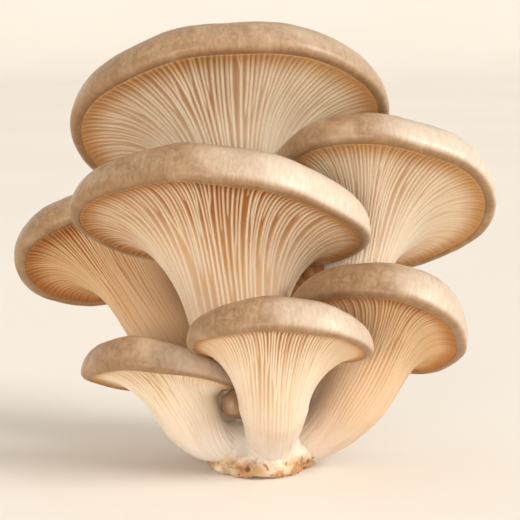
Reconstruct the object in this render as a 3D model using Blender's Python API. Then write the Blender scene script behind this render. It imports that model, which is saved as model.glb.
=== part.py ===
# Oyster mushroom cluster: seven fan-shaped mushrooms that leave one cut base.
# Metres, +Z up. The front of the cluster faces -Y, and the origin is the middle of the
# flat cut face that the cluster rests on.
import bmesh
import bpy
import numpy as np
from math import cos, pi, radians, sin
from mathutils import Matrix

MM = 0.001                 # the dimensions below are in millimetres
GAP = 0.32                 # clearance left between pieces that touch
LIP_HEIGHT = 0.9           # thickness of the gilled flesh at its thin outer edge
VALLEY = 2.2               # depth between two gills of a big cap, larger than life
STEM_STEPS = (0.0, 0.3, 0.58, 0.82)
RIM_STEPS = (-60, -15, 30, 62, 90)
TOP_STEPS = (0.3, 0.62)

# The cut base: a low rough mound, flat underneath.
BASE_CENTRE = (-0.5, 3.2)
BASE_HALF = (17.5, 24.5)
BASE_COLUMNS = 40
BASE_PROFILE = ((0.93, 0.0), (1.0, 1.6), (1.02, 4.0), (0.93, 6.8), (0.74, 9.2), (0.42, 11.0))
BASE_TOP = 11.8

# Each mushroom: a stem that follows four guide points up to its throat, and a cap whose
# lip is a lopsided oval. half_width is left and right, front and back are the other two
# half-axes, tilt leans the cap back and lean rolls it to the right. rim_low and rim_high
# are the radius of the rolled edge and the height of the shoulder, at front and back.
# thick_side turns the thickest part of the rim to the right, in degrees, and droop lets
# the two ends of the cap hang.
MUSHROOMS = {
    "top": dict(
        stem=((0.5, 19.5, 6), (0, 27, 35), (-4, 30, 50), (-6, 28, 66)),
        stem_radius=(7.0, 10.5),
        centre=(-10, 15, 103),
        tilt=46,
        lean=-5,
        half_width=(47, 46.5),
        front=36,
        back=33,
        rim_low=(2.6, 1.5),
        rim_high=(12.8, 4.5),
        dish=8.5,
        flare=(0.45, 0.4),
        wave=(0.7, 0.4),
        gills=36,
    ),
    "upper_right": dict(
        stem=((11, 10.5, 6), (18.5, 18, 25), (25, 21.5, 37.5), (27, 19.4, 46)),
        stem_radius=(6.3, 9.8),
        centre=(33.5, 6, 81.5),
        tilt=46,
        lean=3,
        half_width=(32, 36),
        front=28,
        back=33,
        rim_low=(2.6, 1.4),
        rim_high=(11.5, 4.5),
        thick_side=18,
        dish=7.5,
        flare=(0.45, 0.4),
        wave=(0.6, 2.1),
        gills=30,
    ),
    "centre": dict(
        stem=((0, 4, 5), (-1, 2, 20), (-5, 1, 28), (-6.5, 1, 37.5)),
        stem_radius=(7.0, 14.5),
        swell=2.4,
        centre=(-12.5, -11, 75),
        tilt=32,
        lean=5,
        half_width=(43, 42.5),
        front=31,
        back=26,
        rim_low=(2.6, 1.4),
        rim_high=(11.5, 4.5),
        dish=8.0,
        flare=(0.45, 0.3),
        wave=(0.8, 3.3),
        gills=36,
    ),
    "left": dict(
        stem=((-9.3, 10, 5), (-18, 17, 20), (-26, 21.5, 27), (-30.5, 21, 35.5)),
        stem_radius=(6.0, 10.5),
        centre=(-50.5, 19, 63.5),
        tilt=54,
        lean=-12,
        half_width=(26, 24),
        front=16,
        back=20,
        rim_low=(2.6, 1.4),
        rim_high=(13, 4),
        thick_side=-25,
        dish=6.5,
        flare=(0.4, 0.4),
        wave=(0.4, 1.2),
        gills=24,
    ),
    "lower_right": dict(
        stem=((9, -1.5, 6.5), (17.5, -5, 9), (22.5, -6, 13.5), (26.8, -5, 19.5)),
        stem_radius=(6.6, 10),
        centre=(37.7, -10, 42),
        tilt=36,
        lean=13,
        half_width=(28, 22.5),
        front=24,
        back=23.5,
        rim_low=(2.4, 1.2),
        rim_high=(11.3, 4),
        dish=6.5,
        flare=(0.4, 0.4),
        wave=(0.5, 4.0),
        gills=24,
    ),
    "front": dict(
        stem=((3, -10, 8), (3, -15.5, 13), (3.5, -22, 18.5), (3.5, -26, 24)),
        stem_radius=(6.6, 10.5),
        centre=(5, -35, 43.2),
        tilt=25,
        lean=2,
        half_width=(25.5, 24.7),
        front=20,
        back=17,
        rim_low=(2.2, 1.0),
        rim_high=(9, 3),
        taper=1.4,
        droop=1.2,
        dish=5.5,
        flare=(0.4, 0.22),
        wave=(0.4, 0.9),
        gills=24,
    ),
    "lower_left": dict(
        stem=((-8, -6, 8.5), (-15, -13, 9), (-18.4, -14, 12.5), (-21.3, -13, 17)),
        stem_radius=(6.0, 9.3),
        centre=(-30.5, -15.5, 28.6),
        tilt=22,
        lean=4,
        half_width=(22, 20.5),
        front=19,
        back=13,
        rim_low=(2.2, 1.0),
        rim_high=(8.5, 2.5),
        thick_side=-32,
        taper=1.5,
        dish=5.0,
        flare=(0.4, 0.35),
        wave=(0.4, 2.7),
        gills=22,
    ),
}

# Young buds, too small to have opened, on the left of the upper right stem: the place
# and the radius of each.
BUDS = (
    ((17.8, 15.5, 55.6), 3.0),
    ((15.0, 15.3, 58.0), 2.6),
    ((12.2, 15.8, 55.6), 2.4),
    ((14.4, 14.4, 53.2), 2.4),
    ((18.2, 15.6, 59.6), 2.2),
    ((13.0, 16.4, 59.6), 1.8),
    ((11.0, 15.0, 52.6), 2.2),
)

# A young mushroom, still closed, between the lower left and front stems: the height and
# the radius of its sections, from its root up. It leans away from the big stem beside it.
YOUNG_ROOT = (-7.3, -7.0, 16.0)
YOUNG_LEAN = (-1.4, -2.8)
YOUNG_PROFILE = ((0.0, 1.1), (1.2, 1.7), (2.2, 3.4), (3.4, 4.0), (5.2, 4.1), (7.2, 3.6), (8.8, 2.3))
YOUNG_TOP = 9.7
YOUNG_COLUMNS = 20


def turn_x(degrees):
    c, s = cos(radians(degrees)), sin(radians(degrees))
    return np.array([[1, 0, 0], [0, c, -s], [0, s, c]])


def turn_y(degrees):
    c, s = cos(radians(degrees)), sin(radians(degrees))
    return np.array([[c, 0, s], [0, 1, 0], [-s, 0, c]])


def unit(v):
    return v / np.linalg.norm(v, axis=-1, keepdims=True)


def smooth_step(x):
    x = np.clip(x, 0, 1)
    return x * x * (3 - 2 * x)


def bezier(p0, p1, p2, p3, t):
    return (1 - t) ** 3 * p0 + 3 * t * (1 - t) ** 2 * p1 + 3 * t * t * (1 - t) * p2 + t ** 3 * p3


def columns(count):
    """Angles round a mushroom: 0 is its right side and a quarter turn its front."""
    return np.arange(count) * 2 * pi / count


def cap_axes(m):
    turn = turn_y(m["lean"]) @ turn_x(-m["tilt"])
    return turn @ np.array([1.0, 0, 0]), turn @ np.array([0, -1.0, 0]), turn @ np.array([0, 0, 1.0])


def front_share(m, angle):
    """1 at the thick front of the rim and 0 at its thin back."""
    turned = angle + radians(m.get("thick_side", 0))
    return ((0.5 + 0.5 * np.sin(turned)) ** m.get("taper", 0.8))[:, None]


def lip(m, angle):
    """The edge where the gills end, a closed curve with a slight wave."""
    side, front, up = cap_axes(m)
    reach = np.where(np.sin(angle) > 0, m["front"], m["back"])
    width = np.where(np.cos(angle) > 0, m["half_width"][1], m["half_width"][0])
    radius = 1 / np.sqrt((np.cos(angle) / width) ** 2 + (np.sin(angle) / reach) ** 2)
    size, phase = m["wave"]
    radius = radius + size * (np.sin(3 * angle + phase) + 0.5 * np.sin(7 * angle + 2 * phase))
    rise = 0.8 * size * (np.sin(2 * angle + phase) + 0.5 * np.sin(5 * angle - phase))
    rise = rise - m.get("droop", 0) * np.cos(angle) ** 2
    plan = np.cos(angle)[:, None] * side + np.sin(angle)[:, None] * front
    return np.array(m["centre"]) + radius[:, None] * plan + rise[:, None] * up


def outward(m, angle):
    """Level direction that points straight out of the lip."""
    side, front, up = cap_axes(m)
    along = lip(m, angle + 0.01) - lip(m, angle - 0.01)
    out = unit(np.cross(along, up))
    plan = np.cos(angle)[:, None] * side + np.sin(angle)[:, None] * front
    return out * np.sign(np.sum(out * plan, axis=-1, keepdims=True))


def rim_ring(m, angle, degrees):
    """One line of the rolled rim: a small roll below, a deep shoulder above."""
    up = cap_axes(m)[2]
    share = front_share(m, angle)
    low = m["rim_low"][1] + (m["rim_low"][0] - m["rim_low"][1]) * share
    high = m["rim_high"][1] + (m["rim_high"][0] - m["rim_high"][1]) * share
    start = radians(-115)
    a = radians(degrees)
    if degrees <= 0:
        out = low * (cos(a) - cos(start))
        rise = low * (sin(a) - sin(start))
    else:
        out = low * (1 - cos(start)) - 0.6 * high * (1 - cos(a))
        rise = -low * sin(start) + high * sin(a)
    return lip(m, angle) + outward(m, angle) * out + up * rise


def stem_ring(m, s, angle):
    """A level section of the stem, s = 0 at its root and 1 at its throat."""
    p = [np.array(q, float) for q in m["stem"]]
    at = bezier(*p, s)
    along = unit(bezier(*p, min(s + 0.01, 1)) - bezier(*p, max(s - 0.01, 0)))
    right = unit(np.array([1.0, 0, 0]) - along[0] * along)
    forward = -np.cross(along, right)
    thin, wide = m["stem_radius"]
    radius = thin + (wide - thin) * s ** m.get("swell", 1.5)
    plan = np.cos(angle)[:, None] * right + np.sin(angle)[:, None] * forward
    return at + radius * plan


def underside(m, angle, t):
    """The gill edges, t = 0 at the throat and 1 at the lip."""
    up = cap_axes(m)[2]
    p = [np.array(q, float) for q in m["stem"]]
    along = unit(p[3] - p[2])
    start = stem_ring(m, 1.0, angle)
    end = lip(m, angle) - outward(m, angle) * GAP
    reach = np.linalg.norm(end - start, axis=-1, keepdims=True)
    arch = radians(12)
    first = start + along * reach * m["flare"][0]
    last = end + (up * sin(arch) - outward(m, angle) * cos(arch)) * reach * m["flare"][1]
    return bezier(start, first, last, end, t)


def gill_ring(m, angle, t):
    """Every second column sinks between two gills, by less at the throat and the back."""
    ring = underside(m, angle, t)
    across = underside(m, angle + 0.01, t) - underside(m, angle - 0.01, t)
    along = underside(m, angle, min(t + 0.01, 1)) - underside(m, angle, max(t - 0.01, 0))
    inward = unit(np.cross(across, along))
    size = min(1.0, 0.35 + 0.65 * m["front"] / 32)
    depth = VALLEY * size * (0.2 + 0.8 * front_share(m, angle))
    depth = depth * smooth_step((1 - t) / 0.14) * (0.3 + 0.7 * smooth_step(t / 0.5))
    sunk = (np.arange(len(angle)) % 2)[:, None]
    return ring + inward * depth * sunk


def flesh_middle(m):
    """Where the flesh under the cap is highest, above and in front of the throat."""
    side, front, up = cap_axes(m)
    throat = np.array(m["stem"][3]) - np.array(m["centre"])
    plan = 0.4 * (throat @ side) * side + 0.4 * (throat @ front) * front
    return np.array(m["centre"]) + plan + (m["dish"] - 3.2) * up


def flesh_rings(m, angle, lift):
    """The upper face of the gilled flesh, which the cap lies on."""
    up = cap_axes(m)[2]
    size = min(1.0, 0.4 + 0.6 * m["front"] / 32)
    inset = 5.0 * size
    height = (2.5 + 2.3 * front_share(m, angle)) * size
    edge = lip(m, angle)
    out = outward(m, angle)
    shoulder = edge - out * inset + up * (height + lift)
    middle = flesh_middle(m) + up * lift
    return [shoulder, 0.5 * shoulder + 0.5 * middle], middle


def loft(name, first, rings, last):
    """A closed body of rings between two end points. A ring may have twice the columns of
    the next, and two triangles then meet one."""
    points = [first]
    index = []
    for ring in rings:
        index.append(np.arange(len(ring)) + len(points))
        points.extend(ring)
    points.append(last)
    faces = []
    n = len(index[0])
    for j in range(n):
        faces.append((0, index[0][(j + 1) % n], index[0][j]))
    for low, high in zip(index, index[1:]):
        if len(low) == len(high):
            n = len(low)
            for j in range(n):
                k = (j + 1) % n
                faces.append((low[j], low[k], high[k]))
                faces.append((low[j], high[k], high[j]))
        elif len(high) == 2 * len(low):
            n = len(low)
            for j in range(n):
                k = (j + 1) % n
                a, b, c = high[2 * j], high[2 * j + 1], high[2 * k]
                faces.append((low[j], b, a))
                faces.append((low[j], low[k], b))
                faces.append((low[k], c, b))
        else:
            n = len(high)
            for j in range(n):
                k = (j + 1) % n
                a, b, c = low[2 * j], low[2 * j + 1], low[2 * k]
                faces.append((high[j], a, b))
                faces.append((high[j], b, high[k]))
                faces.append((high[k], b, c))
    n = len(index[-1])
    end = len(points) - 1
    for j in range(n):
        faces.append((index[-1][j], index[-1][(j + 1) % n], end))
    mesh = bpy.data.meshes.new(name)
    mesh.from_pydata([tuple(MM * float(v) for v in p) for p in points], [], faces)
    mesh.flip_normals()
    mesh.validate()
    mesh.shade_smooth()
    return bpy.data.objects.new(name, mesh)


def with_midpoints(ring):
    """The same outline with twice the columns."""
    between = 0.5 * (ring + np.roll(ring, -1, axis=0))
    return np.stack([ring, between], axis=1).reshape(-1, 3)


def gills_and_stem(name, m):
    fine = columns(2 * m["gills"])
    coarse = columns(m["gills"])
    steps = (0.14, 0.3, 0.46, 0.62, 0.76, 0.87, 0.94) if m["gills"] > 28 else (0.16, 0.36, 0.56, 0.74, 0.87)
    up = cap_axes(m)[2]
    rings = [stem_ring(m, s, coarse) for s in STEM_STEPS]
    rings += [gill_ring(m, fine, t) for t in (0.0,) + steps]
    edge = underside(m, coarse, 1.0)
    rings.append(with_midpoints(edge))
    rings.append(edge + up * LIP_HEIGHT)
    upper, middle = flesh_rings(m, coarse, 0.0)
    return loft(name, np.array(m["stem"][0], float), rings + upper, middle)


def cap(name, m):
    coarse = columns(m["gills"])
    up = cap_axes(m)[2]
    lift = 1.3 * GAP
    upper, middle = flesh_rings(m, coarse, lift)
    rings = upper[::-1]
    rings.append(lip(m, coarse) + up * (LIP_HEIGHT + lift))
    rings.append(lip(m, coarse))
    rings += [rim_ring(m, coarse, a) for a in RIM_STEPS]
    shoulder = rings[-1]
    dish = flesh_middle(m) + up * 3.2
    reach = np.linalg.norm(shoulder - dish, axis=-1, keepdims=True)
    out = outward(m, coarse)
    inward = unit((shoulder - dish) - np.sum((shoulder - dish) * up, -1, keepdims=True) * up)
    first = shoulder - out * reach * 0.35
    last = dish + inward * reach * 0.35
    rings += [bezier(shoulder, first, last, dish, t) for t in TOP_STEPS]
    return loft(name, middle, rings, dish)


def base_rings(grow):
    """Sections of the rough mound, pushed out by grow for the shape that trims the stems."""
    angle = columns(BASE_COLUMNS)
    plan = np.stack([np.cos(angle), np.sin(angle), 0 * angle], axis=-1)
    rings = []
    for k, (share, height) in enumerate(BASE_PROFILE):
        rough = 0.03 * np.sin(5 * angle + 1.7 * k) + 0.025 * np.sin(9 * angle - 2.3 * k)
        rough = rough + 0.02 * np.sin(13 * angle + 0.9 * k * k)
        size = share * (1 + rough)
        x = BASE_CENTRE[0] + (BASE_HALF[0] * size + grow) * plan[:, 0]
        y = BASE_CENTRE[1] + (BASE_HALF[1] * size + grow) * plan[:, 1]
        lumps = 0.5 * np.sin(7 * angle + 2.1 * k) * (k > 1)
        z = np.full(len(angle), height) + lumps + grow * (share < 1) * (k > 0)
        if k == 0:
            z = z - 3 * (grow > 0)
        rings.append(np.stack([x, y, z], axis=-1))
    return rings


def mound(name, grow):
    rings = base_rings(grow)
    floor = np.array([BASE_CENTRE[0], BASE_CENTRE[1], rings[0][0, 2]])
    top = np.array([BASE_CENTRE[0], BASE_CENTRE[1], BASE_TOP + grow])
    body = loft(name, floor, rings, top)
    body.data.flip_normals()
    return body


def bud_body():
    """The buds grow out of each other, so they are joined into one lumpy body."""
    group = bpy.data.collections.new("bud_pieces")
    for k, (place, radius) in enumerate(BUDS):
        bud = bmesh.new()
        bmesh.ops.create_icosphere(bud, subdivisions=2, radius=radius * MM)
        bmesh.ops.rotate(bud, verts=bud.verts, matrix=Matrix.Rotation(0.4 + 0.7 * k, 3, "X"))
        for v in bud.verts:
            v.co.z *= 1.15
            v.co.x *= 1.0 + 0.12 * sin(k + 900 * v.co.z)
        bmesh.ops.translate(bud, verts=bud.verts, vec=[MM * c for c in place])
        mesh = bpy.data.meshes.new("bud_%d" % k)
        bud.to_mesh(mesh)
        bud.free()
        group.objects.link(bpy.data.objects.new("bud_%d" % k, mesh))
    return group


def young_mushroom():
    """A closed button whose sections lean away from the stem beside it."""
    angle = columns(YOUNG_COLUMNS)
    root = np.array(YOUNG_ROOT)
    lean = np.array([*YOUNG_LEAN, 0.0])
    rings = []
    for height, radius in YOUNG_PROFILE:
        share = smooth_step(height / 3)
        plan = radius * np.stack([np.cos(angle), np.sin(angle), 0 * angle], axis=-1)
        rings.append(root + lean * share + plan + np.array([0, 0, height]))
    top = root + lean + np.array([0, 0, YOUNG_TOP])
    body = loft("young_mushroom", root, rings, top)
    body.data.flip_normals()
    return body


def surface(name, colour, roughness):
    material = bpy.data.materials.new(name)
    material.use_nodes = True
    shader = material.node_tree.nodes["Principled BSDF"]
    shader.inputs["Base Color"].default_value = (*colour, 1.0)
    shader.inputs["Roughness"].default_value = roughness
    shader.inputs["Metallic"].default_value = 0.0
    return material


def main():
    for old in list(bpy.data.objects):
        bpy.data.objects.remove(old, do_unlink=True)
    parts = bpy.data.collections.new("oyster_mushroom_cluster")
    cutters = bpy.data.collections.new("cutters")
    bpy.context.scene.collection.children.link(parts)
    bpy.context.scene.collection.children.link(cutters)

    base = mound("cut_base", 0.0)
    base.data.materials.append(surface("cut_base", (0.62, 0.47, 0.33), 0.8))
    parts.objects.link(base)
    trim = mound("stem_trim", GAP)
    trim.hide_render = True
    trim.display_type = "WIRE"
    cutters.objects.link(trim)

    young = young_mushroom()
    young.data.materials.append(surface("young_mushroom", (0.50, 0.36, 0.24), 0.5))
    parts.objects.link(young)

    buds = bud_body()
    cutters.children.link(buds)
    for bud in buds.objects:
        bud.hide_render = True
        bud.display_type = "WIRE"

    for key, m in MUSHROOMS.items():
        flesh = gills_and_stem("gills_and_stem_" + key, m)
        flesh.data.materials.append(surface("gills_and_stem_" + key, (0.72, 0.55, 0.38), 0.6))
        parts.objects.link(flesh)
        cut = flesh.modifiers.new("stand_on_base", "BOOLEAN")
        cut.operation = "DIFFERENCE"
        cut.solver = "EXACT"
        cut.object = trim
        if key == "upper_right":
            join = flesh.modifiers.new("bear_buds", "BOOLEAN")
            join.operation = "UNION"
            join.solver = "EXACT"
            join.operand_type = "COLLECTION"
            join.collection = buds
        skin = cap("cap_" + key, m)
        skin.data.materials.append(surface("cap_" + key, (0.50, 0.36, 0.24), 0.5))
        parts.objects.link(skin)


main()
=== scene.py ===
# %% [markdown]
# # A cluster of oyster mushrooms
#
# Oyster mushrooms grow in shelves from one foot. Each is a fan: a short stem flares into
# pale gills, and the gills end under a thick rolled rim of tan skin. This file dresses a
# simple solid model of the cluster, node by node, with finer pieces of the same form.
# The first cell loads that model and notes its size, because the finer pieces have to
# stay inside it.

# %% Load the solid model
from math import cos, pi, radians, sin

import bmesh
import bpy
import numpy as np
from mathutils import Matrix, Vector, noise


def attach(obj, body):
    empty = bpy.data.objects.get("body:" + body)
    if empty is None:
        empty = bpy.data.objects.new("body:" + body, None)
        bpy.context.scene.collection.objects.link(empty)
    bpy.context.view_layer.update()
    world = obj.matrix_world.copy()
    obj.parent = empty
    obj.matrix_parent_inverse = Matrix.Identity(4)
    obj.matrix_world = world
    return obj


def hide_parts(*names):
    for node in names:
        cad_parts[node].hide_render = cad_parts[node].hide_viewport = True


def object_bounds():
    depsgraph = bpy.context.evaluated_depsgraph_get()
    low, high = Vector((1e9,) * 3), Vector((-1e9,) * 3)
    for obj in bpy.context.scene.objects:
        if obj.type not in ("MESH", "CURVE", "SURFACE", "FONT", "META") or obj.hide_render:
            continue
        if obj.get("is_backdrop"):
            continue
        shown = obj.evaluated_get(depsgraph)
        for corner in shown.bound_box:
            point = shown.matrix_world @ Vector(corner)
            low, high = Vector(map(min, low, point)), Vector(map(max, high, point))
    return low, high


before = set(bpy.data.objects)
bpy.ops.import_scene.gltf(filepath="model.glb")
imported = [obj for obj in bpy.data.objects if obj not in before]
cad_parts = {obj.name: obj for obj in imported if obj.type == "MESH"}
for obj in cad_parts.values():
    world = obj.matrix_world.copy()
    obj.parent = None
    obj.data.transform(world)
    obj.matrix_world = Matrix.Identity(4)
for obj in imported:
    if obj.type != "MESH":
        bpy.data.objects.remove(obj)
cad_low, cad_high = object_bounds()
MM = 0.001
print("nodes to dress:", sorted(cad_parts))
print("cluster size in mm:", [round(1000 * (b - a)) for a, b in zip(cad_low, cad_high)])

# %% [markdown]
# ## The seven mushrooms
#
# The numbers are the plan of the cluster in millimetres. A stem follows four guide
# points up to its throat, where the flare starts. The cap's edge is a lopsided oval
# round its centre, tilted back so that the gills face the viewer. The rim is a small
# roll below and a deep shoulder above, thick at the front and thin at the back. Keeping
# them in one table lets one set of functions make all seven, as one kind of growth made
# the real ones.
#
# The last values of each are its finish. gills is how many start at its rim, run is how
# far up the stem they fade out, and deep and glow set the painted shade in the valleys
# between them and, on the right, a paler painted glow of light shining through. tone
# browns the flesh, partly as painted shade where a mushroom stands in the shade of
# others, and the last value is how far the skin is painted paler where it faces the
# light, a painted highlight. In the functions below, m is one row of the table.

# %% The plan of the cluster
MUSHROOMS = {
    "top": dict(
        stem=((0.5, 19.5, 6), (0, 27, 35), (-4, 30, 50), (-6, 28, 66)), stem_radius=(7.0, 10.5),
        centre=(-10, 15, 103), tilt=46, lean=-5, half_width=(47, 46.5), front=36, back=33,
        rim_low=(2.6, 1.5), rim_high=(12.8, 4.5), dish=8.5, flare=(0.45, 0.4),
        wave=(0.7, 0.4), gills=136, deep=0.9, glow=0.6, tone=0.05, bleach=0.3,
    ),
    "upper_right": dict(
        stem=((11, 10.5, 6), (18.5, 18, 25), (25, 21.5, 37.5), (27, 19.4, 46)), stem_radius=(6.3, 9.8),
        centre=(33.5, 6, 81.5), tilt=46, lean=3, half_width=(32, 36), front=28, back=33,
        rim_low=(2.6, 1.4), rim_high=(11.5, 4.5), thick_side=18, dish=7.5, flare=(0.45, 0.4),
        wave=(0.6, 2.1), gills=124, deep=0.65, tone=0.1, bleach=1.0,
    ),
    "centre": dict(
        stem=((0, 4, 5), (-1, 2, 20), (-5, 1, 28), (-6.5, 1, 37.5)), stem_radius=(7.0, 14.5), swell=2.4,
        centre=(-12.5, -11, 75), tilt=32, lean=5, half_width=(43, 42.5), front=31, back=26,
        rim_low=(2.6, 1.4), rim_high=(11.5, 4.5), dish=8.0, flare=(0.45, 0.3),
        wave=(0.8, 3.3), gills=136, deep=1.35, run=0.25, tone=0.3, bleach=1.0,
    ),
    "left": dict(
        stem=((-9.3, 10, 5), (-18, 17, 20), (-26, 21.5, 27), (-30.5, 21, 35.5)), stem_radius=(6.0, 10.5),
        centre=(-50.5, 19, 63.5), tilt=54, lean=-12, half_width=(26, 24), front=16, back=20,
        rim_low=(2.6, 1.4), rim_high=(13, 4), thick_side=-25, dish=6.5, flare=(0.4, 0.4),
        wave=(0.4, 1.2), gills=96, run=0.05, tone=1.05, bleach=0.4,
    ),
    "lower_right": dict(
        stem=((9, -1.5, 6.5), (17.5, -5, 9), (22.5, -6, 13.5), (26.8, -5, 19.5)), stem_radius=(6.6, 10),
        centre=(37.7, -10, 42), tilt=36, lean=13, half_width=(28, 22.5), front=24, back=23.5,
        rim_low=(2.4, 1.2), rim_high=(11.3, 4), dish=6.5, flare=(0.4, 0.4),
        wave=(0.5, 4.0), ease=0.8, gills=112, run=0.1, tone=0.9, bleach=0.8,
    ),
    "front": dict(
        stem=((3, -10, 8), (3, -15.5, 13), (3.5, -22, 18.5), (3.5, -26, 24)), stem_radius=(7.4, 10.5),
        centre=(5, -35, 43.2), tilt=25, lean=2, half_width=(25.5, 24.7), front=20, back=17,
        rim_low=(2.2, 1.0), rim_high=(9, 3), taper=1.4, droop=1.2, dish=5.5, flare=(0.4, 0.22),
        wave=(0.4, 0.9), gills=112, deep=1.15, tone=0.4, bleach=0.8,
    ),
    "lower_left": dict(
        stem=((-8, -6, 8.5), (-15, -13, 9), (-18.4, -14, 12.5), (-21.3, -13, 17)), stem_radius=(6.0, 9.3),
        centre=(-30.5, -15.5, 28.6), tilt=22, lean=4, half_width=(22, 20.5), front=19, back=13,
        rim_low=(2.2, 1.0), rim_high=(8.5, 2.5), thick_side=-32, taper=1.5, dish=5.0, flare=(0.4, 0.35),
        wave=(0.4, 2.7), gills=96, tone=0.1, bleach=0.7,
    ),
}
GAP = 0.06  # between flesh and skin, in mm
LIP_HEIGHT = 0.9  # of the flesh's own edge
print(len(MUSHROOMS), "mushrooms,", sum(m["gills"] for m in MUSHROOMS.values()), "gills at their rims")

# %% [markdown]
# ## The camera
#
# The picture is taken from just above the table, straight at the front, with a long
# lens, so that near and far caps keep their true sizes. The camera looks at a point half
# way up the cluster from 60 cm, and the frame is square.

# %% Camera
ELEVATION = radians(8)
DISTANCE = 0.6
TARGET = Vector((-0.0006, 0.0, 0.0646))
camera = bpy.data.objects.new("camera", bpy.data.cameras.new("camera"))
bpy.context.scene.collection.objects.link(camera)
camera.data.lens = 134
camera.data.sensor_width = 36
camera.data.clip_start = 0.01
camera.data.clip_end = 20
camera.location = TARGET + DISTANCE * Vector((0, -cos(ELEVATION), sin(ELEVATION)))
camera.rotation_euler = (pi / 2 - ELEVATION, 0, 0)
bpy.context.scene.camera = camera
print("camera at", [round(v, 3) for v in camera.location])

# %% [markdown]
# ## Curves and directions
#
# Every form here is a loft between curves, so a few small helpers carry it: a cubic
# Bezier curve, a vector of length one, a soft step that starts and ends level, and the
# spokes of a wheel, which give each angle its direction. Angle 0 is a mushroom's right
# side and a quarter turn is its front. They work on whole arrays of points at once,
# which makes half a million points quick.

# %% Curve helpers
def bezier(p0, p1, p2, p3, t):
    return (1 - t) ** 3 * p0 + 3 * t * (1 - t) ** 2 * p1 + 3 * t * t * (1 - t) * p2 + t ** 3 * p3


def unit(v):
    return v / np.linalg.norm(v, axis=-1, keepdims=True)


def soft_step(x):
    x = np.clip(x, 0, 1)
    return x * x * (3 - 2 * x)


def spokes(angle, right, front):
    return np.cos(angle)[:, None] * right + np.sin(angle)[:, None] * front


def cap_axes(m):
    """The cap's own right, front and up."""
    lean = Matrix.Rotation(radians(m["lean"]), 3, "Y")
    tilt = Matrix.Rotation(-radians(m["tilt"]), 3, "X")
    turn = np.array(lean @ tilt)
    return turn[:, 0], -turn[:, 1], turn[:, 2]


print("half way along a soft step:", float(soft_step(0.5)))

# %% [markdown]
# ## The edge of a cap
#
# Seen from below, a cap's edge is two half-ovals with a slight wave, because the flesh
# grows faster in some places than in others. The rolled rim is measured from that edge:
# outward is the direction straight out of it.

# %% The lip and the rim
def lip(m, angle):
    side, front, up = cap_axes(m)
    reach = np.where(np.sin(angle) > 0, m["front"], m["back"])
    width = np.where(np.cos(angle) > 0, m["half_width"][1], m["half_width"][0])
    radius = 1 / np.sqrt((np.cos(angle) / width) ** 2 + (np.sin(angle) / reach) ** 2)
    size, phase = m["wave"]
    radius = radius + size * (np.sin(3 * angle + phase) + 0.5 * np.sin(7 * angle + 2 * phase))
    rise = 0.8 * size * (np.sin(2 * angle + phase) + 0.5 * np.sin(5 * angle - phase))
    rise = rise - m.get("droop", 0) * np.cos(angle) ** 2
    return np.array(m["centre"]) + radius[:, None] * spokes(angle, side, front) + rise[:, None] * up


def outward(m, angle):
    side, front, up = cap_axes(m)
    out = unit(np.cross(lip(m, angle + 0.01) - lip(m, angle - 0.01), up))
    return out * np.sign(np.sum(out * spokes(angle, side, front), axis=-1, keepdims=True))


def front_share(m, angle):
    """1 where the rim is thickest, at the front, and 0 at the thin back."""
    turned = angle + radians(m.get("thick_side", 0))
    return ((0.5 + 0.5 * np.sin(turned)) ** m.get("taper", 0.8))[:, None]


ROLL_START = -115


def rim_line(m, angle, degrees):
    """A line along the rolled rim: -115 is its inner edge, 0 its outside, 90 its top."""
    up = cap_axes(m)[2]
    share = front_share(m, angle)
    low = m["rim_low"][1] + (m["rim_low"][0] - m["rim_low"][1]) * share
    high = m["rim_high"][1] + (m["rim_high"][0] - m["rim_high"][1]) * share
    start, a = radians(ROLL_START), radians(degrees)
    if degrees <= 0:
        out, rise = low * (cos(a) - cos(start)), low * (sin(a) - sin(start))
    else:
        out = low * (1 - cos(start)) - 0.6 * high * (1 - cos(a))
        rise = -low * sin(start) + high * sin(a)
    return lip(m, angle) + outward(m, angle) * out + up * rise


angles = np.linspace(0, 2 * pi, 721)
for place, m in MUSHROOMS.items():
    edge = lip(m, angles)
    around = np.linalg.norm(np.diff(edge, axis=0), axis=1).sum()
    print(f"{place}: edge {around:.0f} mm round, a gill every {around / m['gills']:.1f} mm")

# %% [markdown]
# ## Stem and underside
#
# A stem's section is a circle that widens towards the throat. From the throat the
# underside sweeps out to the lip on curves that leave along the stem and arrive level,
# a little arched, as the flesh is in the real mushroom. Where a throat is in plain
# view, its ease makes the curves leave at the slant of the widening stem, so that no
# corner shows.

# %% Stem and underside
ARCH = radians(12)


def stem_line(m, s):
    p = [np.array(q, float) for q in m["stem"]]
    return bezier(*p, s), unit(bezier(*p, min(s + 0.01, 1)) - bezier(*p, max(s - 0.01, 0)))


def radius_at(m, s):
    thin, wide = m["stem_radius"]
    return thin + (wide - thin) * s ** m.get("swell", 1.5)


def stem_ring(m, s, angle):
    at, along = stem_line(m, s)
    right = unit(np.array([1.0, 0, 0]) - along[0] * along)
    forward = -np.cross(along, right)
    return at + radius_at(m, s) * spokes(angle, right, forward)


def underside(m, angle, t):
    """t = 0 at the throat and 1 at the lip."""
    up = cap_axes(m)[2]
    thin, wide = m["stem_radius"]
    last = np.array(m["stem"][3]) - np.array(m["stem"][2])
    start = stem_ring(m, 1.0, angle)
    slant = m.get("swell", 1.5) * (wide - thin) / (3 * np.linalg.norm(last))
    along = unit(last) + m.get("ease", 0.0) * slant * unit(start - np.array(m["stem"][3]))
    end = lip(m, angle) - outward(m, angle) * GAP
    reach = np.linalg.norm(end - start, axis=-1, keepdims=True)
    first = start + along * reach * m["flare"][0]
    arch = up * sin(ARCH) - outward(m, angle) * cos(ARCH)
    return bezier(start, first, end + arch * reach * m["flare"][1], end, t)


print("throat of the top mushroom:", stem_ring(MUSHROOMS["top"], 1.0, np.array([pi / 2])).round(1))

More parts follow.
